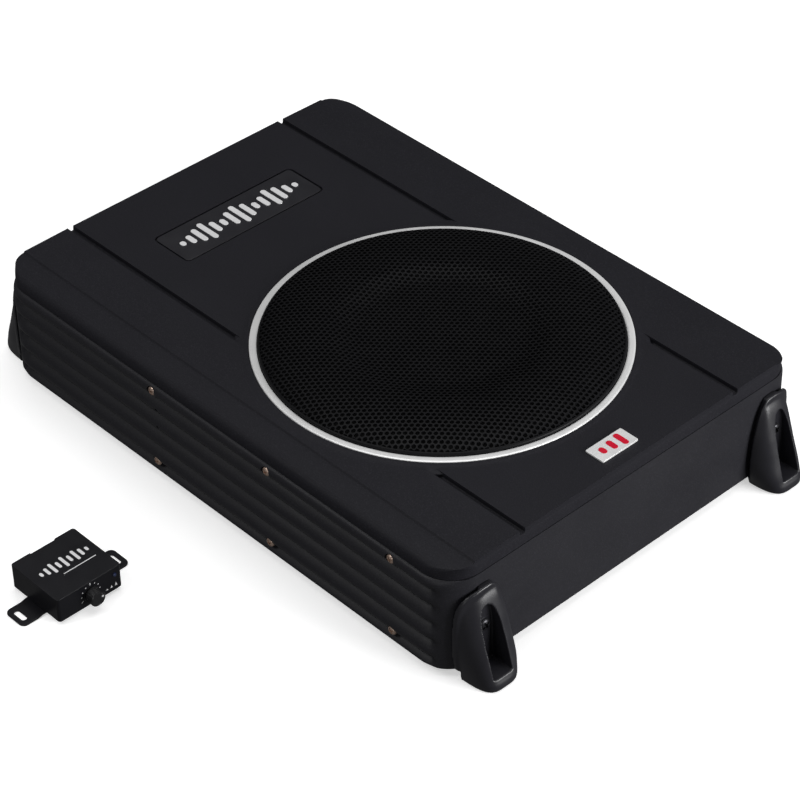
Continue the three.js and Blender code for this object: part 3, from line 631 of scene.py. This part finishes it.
# ------------------------------------------------------------------ screws
def screw(name, head_r, head_t, place, node=None, material="screw"):
    """A domed head with a cross recess on a short shank."""
    dome = [(0, 0.9), (head_r * 0.5, 0.85), (head_r * 0.8, 0.62), (head_r * 0.95, 0.36),
            (head_r, 0.1), (head_r, 0)]
    profile = [(r, z * head_t) for r, z in dome] + [(1.6, 0), (1.6, -6), (0, -6)]
    head = lathe("head", profile, 40)
    arm, w = head_r * 0.68, head_r * 0.19
    plus = [(w, w), (w, arm), (-w, arm), (-w, w), (-arm, w), (-arm, -w), (-w, -w), (-w, -arm), (w, -arm),
            (w, -w), (arm, -w), (arm, w)]
    cross = prism("cross", plus, head_t * 0.25, head_t * 2)
    cross.data.transform(Matrix.Rotation(0.5, 4, "Z"))
    combine(head, [cross], "DIFFERENCE")
    head.name = name
    put(head, place)
    return dress(head, material, stands_for=[node] if node else (), sharp=30)


def screws():
    """The twelve side screws and one screw in each foot."""
    for side, label in ((-1, "near"), (1, "far")):
        for column, x in enumerate(SIDE_SCREW_X):
            for z, row in zip(SIDE_SCREW_Z, ("lower", "upper")):
                at = along("-y" if side < 0 else "+y", x, side * (WIDTH / 2 - 1.7), z)
                node = f"side_screw_{label}_{row}_{column + 1}"
                screw(node + "_head", 2.6, 1.8, at, node)
    for end, end_label in ((1, "plain_end"), (-1, "connector_end")):
        for side, label in ((-1, "near"), (1, "far")):
            at = along("+x" if end > 0 else "-x", end * (LENGTH / 2 + 3.4), side * FOOT_Y, FOOT_SCREW_Z)
            node = f"foot_screw_{end_label}_{label}"
            screw(node + "_head", 3.5, 2.2, at, node, "dark_screw")


# ------------------------------------------------------------------ feet
def foot_body():
    """The pod that leans out and narrows upwards, joined to the flange that hugs the housing's corner."""
    shape = {
        "outer": [(-4.4, 12.0), (0, 13.0), (5, 13.8), (12, 14.4), (22, 14.5), (32, 14.2), (38.8, 13.6),
                  (45, 11.9), (48.6, 9.6), (50.8, 6.0), (52.2, 0.4)],
        "inner": [(-4.4, 13.0), (0, 14.4), (5, 16.2), (12, 17.2), (20, 17.2), (28, 16.6), (36, 15.2),
                  (43, 13.4), (48, 11.2), (50.8, 9.2), (52.2, 6.8)],
        "front": [(-4.4, 18.9), (-2.6, 19.0), (0, 18.6), (3, 17.4), (15, 14.0), (29, 9.9), (40, 6.7),
                  (46, 4.7), (50, 2.7), (51.6, 1.2), (52.2, -0.4)],
        "shrink": [(-4.4, 0.0), (0, 0.7), (12, 1.0), (30, 0.8), (40, 0.7), (48, 0.5), (52.2, 0.2)],
    }
    shape = {name: spline(pairs, 5) for name, pairs in shape.items()}

    def at(name, z):
        return float(np.interp(z, [v[0] for v in shape[name]], [v[1] for v in shape[name]]))

    heights = [-4.4, -3.9, -3.2, -2.4] + [-1.4 + 1.4 * k for k in range(37)] + [50.2, 51.0, 51.6, 52.0, 52.2]
    half_turn = [math.radians(-90 + 180 * k / 40) for k in range(41)]
    back = -10
    pod_levels, flange_levels = [], []
    for z in heights:
        lean, wide, slim = at("front", z), at("outer", z), at("inner", z)
        crest = APEX_Y * smoothstep(8, 50, z)
        power = 2 / (3.8 - 0.9 * smoothstep(0, 20, z))
        tuck = 0.7 * max(0.0, (-3.6 - z) / 0.8)
        outline = []
        for a in half_turn:
            t = math.copysign(abs(math.sin(a)) ** power, math.sin(a))
            reach = wide - at("shrink", z) - crest if t > 0 else slim + crest
            x = back + (lean - tuck - back) * abs(math.cos(a)) ** power
            outline.append((x, crest + t * (reach - tuck)))
        level = z if z < 18 else 18 + (z - 18) * 0.925
        pod_levels.append((level, outline))
        flange_levels.append((level, [(back, -slim + 1.5), (16, -slim + 1.5), (16, wide), (back, wide)]))
    pod = stack("pod", pod_levels)
    flange = stack("flange", flange_levels)
    combine(flange, [round_housing("rim", 3.4, -6)], "INTERSECT")
    return combine(pod, [flange], "UNION")


def round_housing(name, out, lo):
    """The housing's outline, grown by a distance, as the foot sees it from its own middle."""
    outline = rounded_rect(LENGTH + 2 * out, WIDTH + 2 * out, CORNER_R + out, -LENGTH / 2, -FOOT_Y, 20)
    return prism(name, outline, lo, ABOVE_ALL)


def foot_cuts():
    """The tall pocket, the room for the housing, the gaps beside the flange, the sole and the screw hole."""
    slot = [(-6.1, 2.6), (6.1, 2.6)] + spline([(6.0, 20), (5.4, 30), (4.0, 36.5), (2.2, 39.6), (0, 40.6)], 5)
    slot += [(-y, z) for y, z in reversed(slot[2:-1])]
    pocket = prism("pocket", slot, 3.4, 24, "x")
    neck = spline([(-20.5, -1), (-14.2, 2), (-13.8, 14), (-13.2, 24), (-12.0, 33), (-10.2, 41), (-8.4, 46),
                   (-6.8, 50)], 4)
    neck += [(-6.8, 56), (-26, 56), (-26, -1)]
    inner_gap = prism("inner_gap", neck, -9, 2.4, "x")
    wall = round_housing("wall", 0.3, -0.3)
    gap = combine(round_housing("gap", 1.5, 2), [box("beside", -30, 10, 1.5, 40, -1, 90)], "INTERSECT")
    under = box("under", -20, 0.3, -30, 30, -20, 2)
    ground = box("ground", -30, 30, -30, 30, -20, FOOT_SOLE)
    hole = rod("hole", 2, 30, "+x", -10, 0, FOOT_SCREW_Z)
    return [pocket, wall, gap, under, ground, inner_gap, hole]


def foot_mesh():
    """One foot at the +X, +Y corner, about its own middle."""
    pod = remesh(foot_body(), 0.5, 12)
    combine(pod, foot_cuts(), "DIFFERENCE")
    boss = lathe("boss", [(2.05, 1.0), (4.9, 1.0), (4.9, 3.1), (4.2, 3.5), (2.05, 3.5), (2.05, 1.0)], 40,
                 along("+x", 0, 0, FOOT_SCREW_Z))
    combine(pod, [boss], "UNION")
    remesh(pod, 0.42, 3)
    thin = pod.modifiers.new("thin", "DECIMATE")
    thin.ratio = 0.35
    return bake(pod)


def remesh(ob, size, rounds):
    """Rebuilds a closed body from voxels and relaxes it, which rounds every edge."""
    mesh = ob.modifiers.new("voxels", "REMESH")
    mesh.mode = "VOXEL"
    mesh.voxel_size = size * MM
    relax = ob.modifiers.new("relax", "SMOOTH")
    relax.factor = 0.5
    relax.iterations = rounds
    return bake(ob)


def feet():
    """The four feet, mirrored from one."""
    pattern = foot_mesh()
    coords = np.array([v.co for v in pattern.data.vertices]) / MM
    loops = [tuple(p.vertices) for p in pattern.data.polygons]
    bpy.data.objects.remove(pattern)
    for end, end_label in ((1, "plain_end"), (-1, "connector_end")):
        for side, label in ((-1, "near"), (1, "far")):
            moved = coords * [end, side, 1] + [end * LENGTH / 2, side * FOOT_Y, 0]
            faces = loops if end * side > 0 else [tuple(reversed(f)) for f in loops]
            node = f"foot_{end_label}_{label}"
            foot = raw_object(node + "_shell", moved.tolist(), faces)
            dress(foot, "mould", stands_for=[node], sharp=70)


# ------------------------------------------------------------------ driver seen through the mesh
def driver():
    """The cone and dust cap, which ride on the woofer cone, and the surround and spider round them, which are
    joined to no body.
    """
    at = along("+z", WOOFER_X, 0, 0)
    front = [(72.6, 60.6), (70, 60.6), (68.6, 59.4)]
    front += spline([(60, 56.4), (45, 51.7), (30, 47.7), (22.4, 46)], 4)
    cone = [(19.8, 44.0), (23, 44.4)] + spline([(30, 46.2), (45, 50.2), (60, 54.8), (70.6, 58.4)], 4)
    cone += front + [(19.8, 45.6), (19.8, 44.0)]
    dress(lathe("paper_cone", cone, 128, at), "cone", "woofer_cone", ["cone"])
    cap = spline([(0, 57.4), (10, 56.6), (19, 54), (25.6, 49.8), (27.4, 48.2)], 4) + [(26.4, 47.8)]
    cap += spline([(24.6, 48.6), (18.4, 52.6), (9.7, 55.4), (0, 56.2)], 4)
    dress(lathe("dust_dome", cap, 96, at), "cone", "woofer_cone", ["dust_cap"])
    roll = [(72, 61.1), (74.2, 61.1)]
    roll += spline([(75.6, 63.2), (77.2, 64.7), (79, 65.3), (80.8, 64.7), (82.6, 63.2)], 3)
    roll += [(83.6, 62.5), (88, 62.5), (88, 63.4), (84, 63.4)]
    roll += spline([(83, 64.4), (81.2, 66), (79, 66.6), (76.8, 66), (75, 64.4)], 3)
    roll += [(73.6, 62), (72, 62), (72, 61.1)]
    flex("surround_roll", roll, 128, at, "rubber", "surround")
    inner, outer, wave = 20.5, 46, 5.1
    upper = [(19.7, 34.2)]
    for k in range(41):
        r = inner + k * (outer - inner) / 40
        upper.append((r, 33.8 + 0.9 * math.sin((r - inner) / wave * 2 * math.pi)))
    upper += [(48, 33.7)]
    web = upper + [(r, z - 0.7) for r, z in reversed(upper)] + [upper[0]]
    flex("spider_web", web, 96, at, "cloth", "spider")


def flex(name, profile, segments, place, material, node):
    """A soft ring, which in the object is held by the enclosure at its outer edge and carried by the cone at
    its inner edge; here it is turned, finished, smoothed and left in place on no body.
    """
    ob = lathe(name, profile, segments, place)
    ob.data.materials.append(FINISHES[material])
    ob.data.polygons.foreach_set("use_smooth", [True] * len(ob.data.polygons))
    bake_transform(ob)
    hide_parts(node)


# ------------------------------------------------------------------ wired level control
def level_base():
    """The bent strip under the case, with a slotted tab at each end."""
    half, tip = REMOTE_LY / 2, REMOTE_LY / 2 + 14
    upper = [(-tip, 1.1), (-half - 4.2, 1.1), (-half - 1.2, 1.9), (half + 1.2, 1.9), (half + 4.2, 1.1),
             (tip, 1.1)]
    lower = [(tip, 0), (half + 4.6, 0), (half + 1.6, 0.8), (-half - 1.6, 0.8), (-half - 4.6, 0), (-tip, 0)]
    section = [(REMOTE_Y + y, FOOT_SOLE + z) for y, z in upper + lower]
    base = prism("level_base", section, REMOTE_X - 18, REMOTE_X + 18, "x")
    tongue = prism("tongue", rounded_rect(15, 2 * tip, 3.2, REMOTE_X, REMOTE_Y, 8), -10, 10)
    middle = prism("middle", rounded_rect(REMOTE_LX - 2, REMOTE_LY - 2, 1.4, REMOTE_X, REMOTE_Y), -10, 10)
    combine(tongue, [middle], "UNION")
    combine(base, [tongue], "INTERSECT")
    slots = []
    for side in (-1, 1):
        outline = rounded_rect(8.4, 3.2, 1.5, REMOTE_X, REMOTE_Y + side * (tip - 4.2), 6)
        slots.append(prism("slot", outline, -10, 10))
    combine(base, slots, "DIFFERENCE")
    soften(base, 0.25, 2)
    dress(base, "satin", "level_control", ["remote_base"], 0)


def level_case():
    """The hollow case, open below, with holes for the knob and the lamp and a notch and socket behind."""
    bottom = FOOT_SOLE + 2.1
    outside = rounded_rect(REMOTE_LX, REMOTE_LY, 1.6, REMOTE_X, REMOTE_Y)
    case = prism("level_case", outside, bottom, REMOTE_TOP)
    inside = rounded_rect(REMOTE_LX - 2.8, REMOTE_LY - 2.8, 0.8, REMOTE_X, REMOTE_Y, 4)
    cuts = [prism("hollow", inside, bottom - 1, REMOTE_TOP - 1.4),
            rod("bush", 3.5, 6, "+x", REMOTE_FACE - 3, REMOTE_KNOB_Y, REMOTE_KNOB_Z, 40),
            rod("lens", 1.15, 6, "+x", REMOTE_FACE - 3, REMOTE_Y + 15.4, FOOT_SOLE + 11.8, 24),
            box("notch", REMOTE_BACK - 1, REMOTE_BACK + 0.9, REMOTE_Y - 7.6, REMOTE_Y + 7.6, REMOTE_TOP - 0.8,
                REMOTE_TOP + 1),
            box("socket", REMOTE_BACK - 1, REMOTE_BACK + 3, REMOTE_Y - 6.1, REMOTE_Y + 6.1, FOOT_SOLE + 3,
                FOOT_SOLE + 10.4)]
    combine(case, cuts, "DIFFERENCE")
    soften(case, 0.55, 3, 40)
    dress(case, "satin", "level_control", ["remote_case"], 0)


def level_knob():
    """The knob with its pointer spot, and the six-sided nut behind it."""
    at = along("+x", REMOTE_FACE - 6.4, REMOTE_KNOB_Y, REMOTE_KNOB_Z)
    profile = [(0, 0), (2.8, 0), (2.8, 7.0), (3.7, 7.0), (4.1, 7.3), (4.4, 7.9), (4.4, 8.3), (4.4, 11.9),
               (4.3, 12.4), (4.0, 12.75), (3.5, 12.9), (3.3, 12.75), (0, 12.75)]
    knob = knurled("level_knob", profile, 24, 0.16, at)
    dress(knob, "gloss", "level_control_knob", ["remote_knob"], 30)
    spot = lathe("level_knob_pointer", [(0, 12.9), (0.45, 12.88), (0.62, 12.78), (0.62, 12.5), (0, 12.5)], 20,
                 at @ Matrix.Translation((-0.7, 2.5, 0)))
    dress(spot, "ink", "level_control_knob")
    section = [(2.95, -2.0), (4.9, -2.0), (4.9, 0.1), (4.7, 0.3), (2.95, 0.3), (2.95, -2.0)]
    nut = lathe("level_knob_bush", section, 6, along("+x", REMOTE_FACE - 0.15, REMOTE_KNOB_Y, REMOTE_KNOB_Z))
    dress(nut, "dark_screw", "level_control", sharp=30)


def level_marks():
    """Bars and a line on the case's top, ticks round the knob and wedges beside it."""
    ink = 0.06
    marks = []
    for k, h in enumerate((3, 5.5, 8, 5, 8.5, 5, 8, 5.5, 3)):
        outline = rounded_rect(h, 1.7, 0.84, REMOTE_X - 1.8, REMOTE_Y + 0.6 + (k - 4) * 3.5, 4)
        marks.append(prism("bar", outline, REMOTE_TOP, REMOTE_TOP + ink))
    marks.append(box("line", REMOTE_X + 5.0, REMOTE_X + 5.5, REMOTE_Y - 5, REMOTE_Y + 15, REMOTE_TOP,
                     REMOTE_TOP + ink))
    dress(joined("level_case_marks", marks), "ink", "level_control", sharp=0)
    ticks = []
    for k in range(9):
        tick = box("tick", 0, ink, -0.2, 0.2, 5.3, 5.3 + (0.7 if k % 4 else 1.3))
        ticks.append(dial_mark(tick, REMOTE_FACE, REMOTE_KNOB_Y, REMOTE_KNOB_Z, -116 + 29 * k))
    low = FOOT_SOLE + 4.6
    for k, h in enumerate((1.0, 1.6, 2.2)):
        y = REMOTE_Y + 10.2 + 2.8 * k
        wedge = [(y - 0.8, low), (y + 0.8, low), (y, low + h)]
        ticks.append(prism("wedge", wedge, REMOTE_FACE, REMOTE_FACE + ink, "x"))
    dress(joined("level_face_marks", ticks), "ink", "level_control", sharp=0)


def dial_mark(tick, x, y, z, degrees):
    """Turns an upright tick about a knob's axis and moves it to the knob."""
    turn = Matrix.Rotation(math.radians(degrees), 4, "X")
    tick.data.transform(Matrix.Translation(Vector((x, y, z)) * MM) @ turn)
    return tick


def level_control():
    """The small case on its tabbed base, with a knob, marks and a cable socket."""
    level_base()
    level_case()
    level_knob()
    level_marks()
    pins = [rod("pin", 0.35, 5, "-x", REMOTE_BACK + 6, REMOTE_Y + (k - 1.5) * 1.6, FOOT_SOLE + 6.4, 12)
            for k in range(4)]
    dress(joined("level_socket_pins", pins), "brass", "level_control")


def knurled(name, profile, teeth, depth, place):
    """A turned knob with grip grooves round its widest part."""
    ob = lathe(name, profile, teeth * 4)
    widest = max(r for r, _ in profile)
    for v in ob.data.vertices:
        r = math.hypot(v.co.x, v.co.y) / MM
        if r > widest - 0.05:
            a = math.atan2(v.co.y, v.co.x) * teeth
            v.co.xy *= 1 - depth / widest * (0.5 + 0.5 * math.cos(a))
    return put(ob, place)


# ------------------------------------------------------------------ connector end
def panel_knobs():
    """The three knobs with their pointers straight up, halfway round their scales."""
    profile = [(0, 0), (2.5, 0), (2.5, 8.5), (4.4, 8.5), (5, 9), (5, 14.2), (4.8, 14.8), (4.3, 15.2),
               (0, 15.2)]
    for node, body, y in PANEL_KNOBS:
        at = along("-x", PANEL_FACE + 8, y, PANEL_KNOB_Z)
        dress(knurled(node + "_cap", profile, 20, 0.2, at), "gloss", body, [node], 30)
        line = put(prism("line", rounded_rect(3.4, 0.7, 0.3, 2.7, 0, 4), 15.2, 15.28), at)
        line.name = node + "_pointer"
        dress(line, "ink", body, sharp=0)


def panel_marks():
    """Ticks round the knobs, and short bars where the sockets and controls are labelled."""
    marks = []
    for _, _, y in PANEL_KNOBS:
        for k in range(11):
            tick = box("tick", -0.06, 0, -0.18, 0.18, 5.9, 6.9)
            marks.append(dial_mark(tick, PANEL_FACE, y, PANEL_KNOB_Z, -135 + 27 * k))
    for y, z, w, h in ((58, 40.4, 14, 0.5), (58, 41.6, 8, 0.5), (30, 34.4, 8, 0.5), (JACK_Y, 45.2, 6, 0.5),
                       (JACK_Y, 28.2, 6, 0.5), (-6, 27.8, 8, 0.5), (-26, 27.8, 6, 0.5), (-56, 23, 8, 0.5),
                       (-56, 45.2, 34, 0.4)):
        marks.append(box("mark", PANEL_FACE - 0.06, PANEL_FACE, y - w / 2, y + w / 2, z - h / 2, z + h / 2))
    dress(joined("panel_marks", marks), "ink", sharp=0)


def panel_contacts():
    """Three power blades, seven pins in the two small sockets, and the jacks' washers."""
    contacts = []
    for y in (49.5, 58, 66.5):
        contacts.append(box("blade", PANEL_FACE - 1.6, PANEL_FACE + 9, y - 2.6, y + 2.6, 28.4, 29.6))
    for y in (-10.5, -7.5, -4.5, -1.5, -28.6, -26, -23.4):
        contacts.append(rod("pin", 0.5, 8, "-x", PANEL_FACE + 8, y, 20, 12))
    dress(joined("socket_contacts", contacts), "brass", sharp=30)
    washer = [(4.25, 0.02), (6.2, 0.02), (6.2, 0.7), (5.9, 1.0), (4.25, 1.0), (4.25, 0.02)]
    for node, z in JACKS:
        dress(lathe(node + "_washer", washer, 48, along("-x", PANEL_FACE, JACK_Y, z)), "brass", sharp=30)


def panel_and_underside_screws():
    corners = [(-75.5, 12.5), (75.5, 12.5), (-75.5, 46.5), (75.5, 46.5)]
    for k, (y, z) in enumerate(corners + [(-34, 12.5), (20, 47)]):
        at = along("-x", PANEL_FACE - 0.02, y, z)
        screw(f"panel_screw_{k + 1}", 2.3, 1.2, at, material="dark_screw")
    corners = [(x, y) for x in (-158, 158) for y in (-104, 104)]
    for k, (x, y) in enumerate(corners + [(0, -112), (0, 112), (-158, 0), (158, 0)]):
        at = Matrix.Translation((x, y, -0.02)) @ Matrix.Rotation(math.pi, 4, "X")
        screw(f"underside_screw_{k + 1}", 2.8, 1.4, at, material="dark_screw")


def connector_end():
    """What shows on the panel that faces -X, and the screws that hold it and the bottom plate."""
    panel_knobs()
    panel_marks()
    panel_contacts()
    panel_and_underside_screws()


housing()
deck()
grille_and_ring()
emblem_and_badge()
screws()
feet()
driver()
level_control()
connector_end()

# ------------------------------------------------------------------ CAD nodes that keep their shape
KEPT = {
    "sheet": ["bottom_plate"], "rubber": ["cover_gasket"], "steel": ["woofer_basket"],
    "zinc": ["back_plate", "top_plate", "remote_potentiometer"], "ferrite": ["magnet"],
    "copper": ["voice_coil", "transformer"], "board": ["amplifier_board", "remote_board"],
    "fin": ["heatsink_bar"], "blue": ["capacitor"], "mould": ["control_panel", "power_socket", "remote_jack"],
    "grey": ["high_level_socket", "remote_socket"], "amber": ["fuse"], "white": ["rca_jack_left"],
    "red": ["rca_jack_right"], "pale": ["phase_switch"], "led": ["power_led", "remote_led"],
}
for material, names in KEPT.items():
    for name in names:
        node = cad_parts[name]
        node.data.materials.clear()
        node.data.materials.append(FINISHES[material])

# ------------------------------------------------------------------ floor, light and camera
def studio_floor():
    """A pale sheet just under the soles, kept out of the object's own reflections."""
    mesh = bpy.data.meshes.new("studio_floor")
    half, z = 6, (FOOT_SOLE - 0.1) * MM
    corners = [(-half, -half, z), (half, -half, z), (half, half, z), (-half, half, z)]
    mesh.from_pydata(corners, [], [(0, 1, 2, 3)])
    paper = finish("floor_paper", (0.86, 0.86, 0.86), 0.9, 0.0, 0.01, 300, 0.0, 2.0, 0.02, spec=0.1, glow=0.5)
    mesh.materials.append(paper)
    floor = bpy.data.objects.new("studio_floor", mesh)
    scene.collection.objects.link(floor)
    floor.visible_diffuse = False
    floor.visible_glossy = False


def softbox(name, place, aim, width, height, power):
    data = bpy.data.lights.new(name, "AREA")
    data.shape = "RECTANGLE"
    data.size, data.size_y = width, height
    data.energy = power
    lamp = bpy.data.objects.new(name, data)
    scene.collection.objects.link(lamp)
    lamp.location = place
    lamp.rotation_euler = (Vector(aim) - Vector(place)).to_track_quat("-Z", "Y").to_euler()


def studio_light():
    """A dim white surround and four soft boxes; places are in metres."""
    world = bpy.data.worlds.new("studio")
    scene.world = world
    world.use_nodes = True
    surround = world.node_tree.nodes["Background"]
    surround.inputs["Color"].default_value = (1, 1, 1, 1)
    surround.inputs["Strength"].default_value = 0.12
    softbox("overhead_box", (-0.1, 0.15, 1.6), (0, 0, 0), 1.4, 1.4, 12.5)
    softbox("right_box", (1.35, 0.5, 0.36), (0.15, 0.0, 0.03), 0.8, 0.6, 25)
    softbox("left_box", (-0.5, -1.1, 1.3), (0, -0.1, 0.02), 0.6, 0.5, 6)
    softbox("front_box", (0.7, -1.5, 0.5), (0, 0, 0.03), 0.7, 0.5, 3)


def studio_camera():
    """A long lens over the near corner of the plain end, placed in ring radii from the ring's middle."""
    azimuth, elevation, roll = (math.radians(v) for v in (46.534, 38.427, -0.476))
    flat = math.cos(elevation)
    back = Vector((math.sin(azimuth) * flat, -math.cos(azimuth) * flat, math.sin(elevation)))
    level = Vector((math.cos(azimuth), math.sin(azimuth), 0))
    up = back.cross(level)
    right_axis = level * math.cos(roll) + up * math.sin(roll)
    up_axis = -level * math.sin(roll) + up * math.cos(roll)
    turn = Matrix((right_axis, up_axis, back)).transposed()
    place = turn @ Vector((-0.0376, -0.2311, 14.665)) * RING_R + Vector((WOOFER_X, 0, RING_TOP))
    camera = bpy.data.objects.new("camera", bpy.data.cameras.new("camera"))
    scene.collection.objects.link(camera)
    camera.matrix_world = Matrix.Translation(place * MM) @ turn.to_4x4()
    camera.data.sensor_width = 36
    camera.data.lens = 127.6443
    camera.data.shift_x, camera.data.shift_y = -0.0436625, -0.0221875
    camera.data.clip_start, camera.data.clip_end = 0.05, 50
    scene.camera = camera


studio_floor()
studio_light()
studio_camera()
